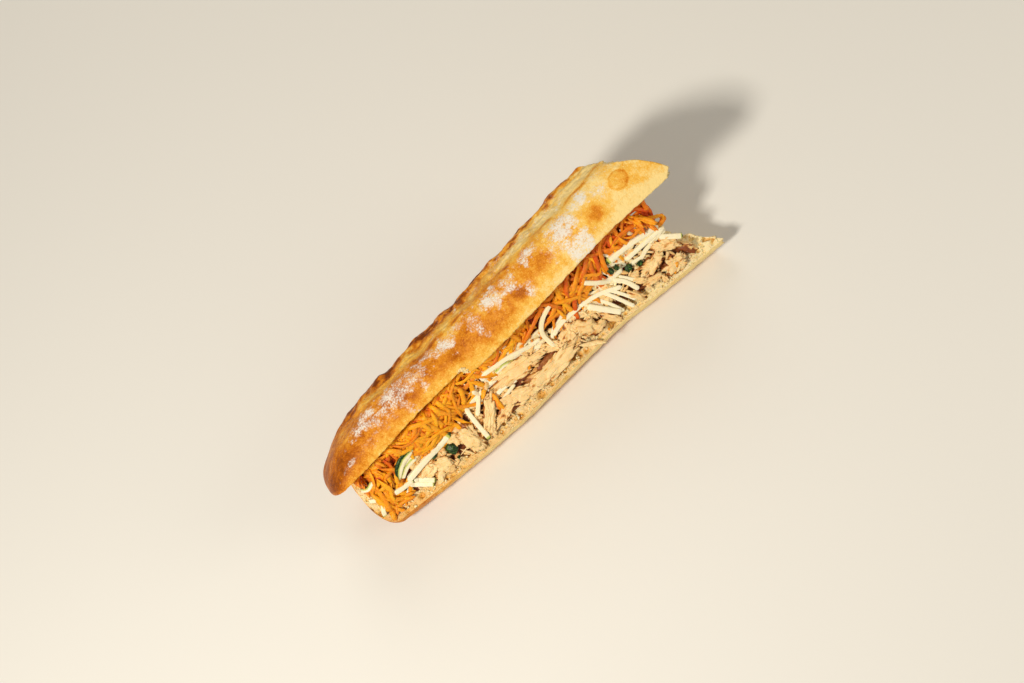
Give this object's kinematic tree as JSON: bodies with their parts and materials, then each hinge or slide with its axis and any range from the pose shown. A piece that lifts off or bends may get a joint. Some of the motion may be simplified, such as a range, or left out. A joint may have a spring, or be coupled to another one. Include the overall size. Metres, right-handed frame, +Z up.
{
  "type": "sandwich",
  "caption": "Filled half baguette with a slanting cut end: a floured golden lid propped open over torn chicken, courgette sticks and grated carrot.",
  "frame": {"origin": "on the table under the middle of the sandwich's outline", "axes": "+X along the loaf from its round heel to its slanting cut end, -Y out of the open side, +Z up"},
  "size_m": [0.2812, 0.0796, 0.0939],
  "materials": {
    "pale_crust": "matt, pale baked bread with an open, holed crumb on its cut face",
    "golden_crust": "matt, golden-brown baked crust dusted with flour",
    "chicken": "moist, beige cooked chicken torn into slabs and fibres",
    "courgette": "moist, pale cream flesh with a green edge where skin is left on",
    "carrot": "moist, bright orange raw grated carrot"
  },
  "bodies": {
    "root": {"bread_base": "pale_crust", "bread_lid": "golden_crust", "chicken": "chicken", "courgette": "courgette", "carrot": "carrot"}
  },
  "joints": []
}
